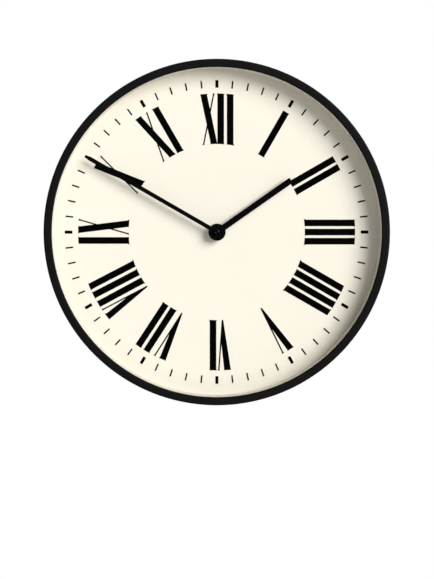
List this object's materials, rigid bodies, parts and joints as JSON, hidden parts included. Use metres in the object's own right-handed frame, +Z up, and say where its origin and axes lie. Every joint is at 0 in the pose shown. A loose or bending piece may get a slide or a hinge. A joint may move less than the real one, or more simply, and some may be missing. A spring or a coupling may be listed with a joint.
{
  "type": "wall clock",
  "caption": "Round wall clock with a deep black steel case, a narrow bezel, a cream dial with Roman numerals under glass, and straight black hands driven by a quartz movement.",
  "frame": {"origin": "on the hands' axis, in the plane of the wall that the case's rear rim rests on", "axes": "+Y points into the wall, so the dial faces -Y; +Z is up, through 12 o'clock; +X is to the right as seen from the front, through 3 o'clock"},
  "size_m": [0.45, 0.066, 0.45],
  "materials": {
    "case_black": "matte",
    "pan_black": "matte",
    "gasket": "matte",
    "clear_glass": "polished",
    "dial_cream": "matte",
    "ring_cream": "satin",
    "print_black": "matte",
    "fibreboard": "matte",
    "zinc_steel": "satin",
    "screw_black": "satin",
    "housing_black": "satin",
    "plate_ivory": "satin",
    "brass": "satin",
    "board_green": "satin",
    "chip_black": "gloss",
    "bobbin": "satin",
    "copper_wire": "satin",
    "soft_iron": "satin",
    "contact_steel": "polished",
    "cell_can": "polished",
    "cell_jacket": "gloss",
    "knob_red": "satin",
    "hand_black": "satin"
  },
  "bodies": {
    "case": {"case_shell": "case_black", "glass_gasket": "gasket", "front_glass": "clear_glass", "rehaut_ring": "ring_cream", "dial_plate": "dial_cream", "minute_track": "print_black", "numerals": "print_black", "dial_board": "fibreboard", "spacer_posts": "zinc_steel", "post_screws": "zinc_steel", "back_pan": "pan_black", "side_screws": "screw_black", "hanger_plate": "zinc_steel", "hanger_rivets": "zinc_steel", "movement_housing": "housing_black", "middle_plate": "plate_ivory", "train_bridge": "plate_ivory", "movement_cover": "housing_black", "movement_screws": "zinc_steel", "threaded_bush": "brass", "rubber_washer": "gasket", "brass_washer": "brass", "dial_nut": "brass", "circuit_board": "board_green", "timing_chip": "chip_black", "quartz_crystal": "contact_steel", "coil_bobbin": "bobbin", "coil_winding": "copper_wire", "coil_core": "soft_iron", "stator_plate": "soft_iron", "coil_screws": "zinc_steel", "positive_contact": "contact_steel", "negative_contact": "contact_steel"},
    "minute": {"centre_wheel": "plate_ivory", "minute_arbor": "brass", "minute_hand": "hand_black", "minute_collet": "brass", "cap_nut": "hand_black"},
    "hour": {"hour_wheel": "plate_ivory", "hour_hand": "hand_black", "hour_collet": "brass"},
    "transfer": {"transfer_wheel": "plate_ivory"},
    "setting": {"setting_knob": "knob_red", "setting_pinion": "plate_ivory"},
    "third": {"third_wheel": "plate_ivory"},
    "seconds": {"seconds_wheel": "plate_ivory"},
    "fifth": {"fifth_wheel": "plate_ivory"},
    "rotor": {"rotor_magnet": "soft_iron", "rotor_staff": "plate_ivory"},
    "battery": {"battery_can": "cell_can", "battery_jacket": "cell_jacket"}
  },
  "joints": [
    {"name": "minute_turn", "type": "hinge", "parent": "case", "child": "minute", "pos_m": [0, -0.0484, 0], "axis": [0, 1, 0], "continuous": true},
    {"name": "hour_turn", "type": "hinge", "parent": "case", "child": "hour", "pos_m": [0, -0.0291, 0], "axis": [0, 1, 0], "continuous": true},
    {"name": "transfer_turn", "type": "hinge", "parent": "case", "child": "transfer", "pos_m": [0.0042, -0.0279, 0.00727], "axis": [0, 1, 0], "continuous": true},
    {"name": "setting_turn", "type": "hinge", "parent": "case", "child": "setting", "pos_m": [0.01308, -0.016, 0.01051], "axis": [0, 1, 0], "continuous": true},
    {"name": "third_turn", "type": "hinge", "parent": "case", "child": "third", "pos_m": [0.01064, -0.0239, -0.00188], "axis": [0, 1, 0], "continuous": true},
    {"name": "seconds_turn", "type": "hinge", "parent": "case", "child": "seconds", "pos_m": [0, -0.0227, 0], "axis": [0, 1, 0], "continuous": true},
    {"name": "fifth_turn", "type": "hinge", "parent": "case", "child": "fifth", "pos_m": [-0.01029, -0.0215, 0.00375], "axis": [0, 1, 0], "continuous": true},
    {"name": "rotor_turn", "type": "hinge", "parent": "case", "child": "rotor", "pos_m": [-0.01774, -0.0237, 0.00104], "axis": [0, 1, 0], "continuous": true},
    {"name": "battery_slide", "type": "slide", "parent": "case", "child": "battery", "axis": [0, 1, 0], "range_m": [0, 0.032]}
  ],
  "couplings": [
    {"joint": "hour_turn", "follows": "minute_turn", "ratio": 0.083333},
    {"joint": "transfer_turn", "follows": "minute_turn", "ratio": -0.33333},
    {"joint": "setting_turn", "follows": "minute_turn", "ratio": 0.66667},
    {"joint": "third_turn", "follows": "minute_turn", "ratio": -8},
    {"joint": "seconds_turn", "follows": "minute_turn", "ratio": 60},
    {"joint": "fifth_turn", "follows": "minute_turn", "ratio": -360},
    {"joint": "rotor_turn", "follows": "minute_turn", "ratio": 1800}
  ]
}
